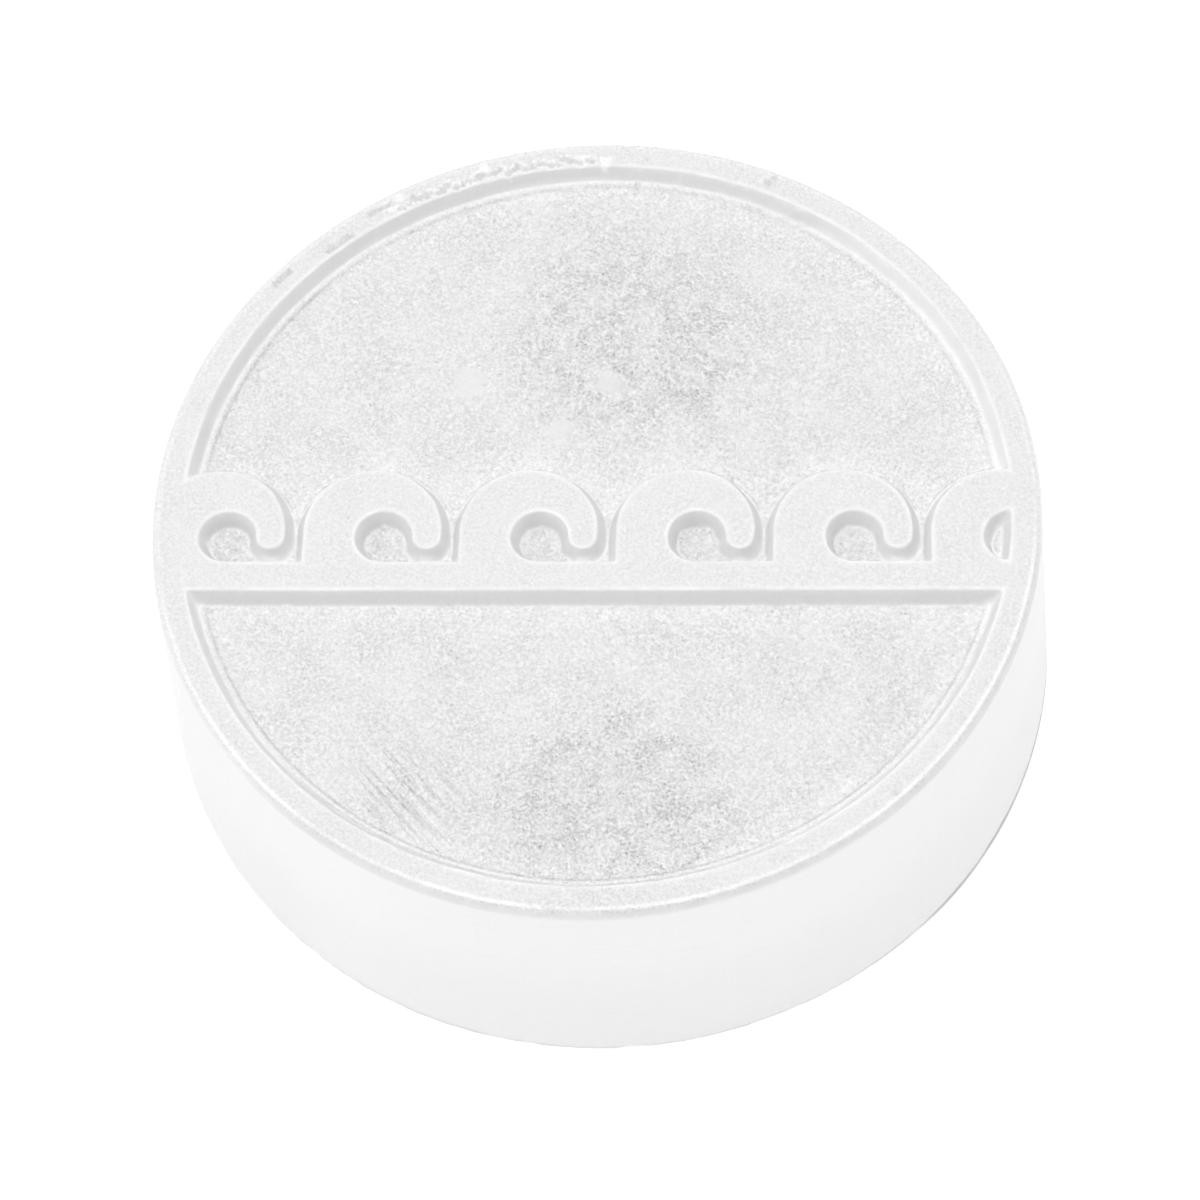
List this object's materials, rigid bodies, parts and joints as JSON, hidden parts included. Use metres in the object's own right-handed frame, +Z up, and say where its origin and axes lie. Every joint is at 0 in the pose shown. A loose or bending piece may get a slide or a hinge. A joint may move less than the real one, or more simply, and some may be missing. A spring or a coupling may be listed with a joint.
{
  "type": "shaving soap puck",
  "caption": "Thick round cake of hard white shaving soap, slightly wider at the base, with a raised rim round a sunken face and a raised band of curling waves across it.",
  "frame": {"origin": "centre of the flat underside", "axes": "+Z up out of the decorated face; the band of waves runs along X, curls towards +X and has its bar on the -Y side"},
  "size_m": [0.0724, 0.0724, 0.0228],
  "materials": {
    "soap": "matt white hard soap, slightly waxy and fine-grained"
  },
  "bodies": {
    "root": {"puck_body": "soap", "wave_relief": "soap"}
  },
  "joints": []
}
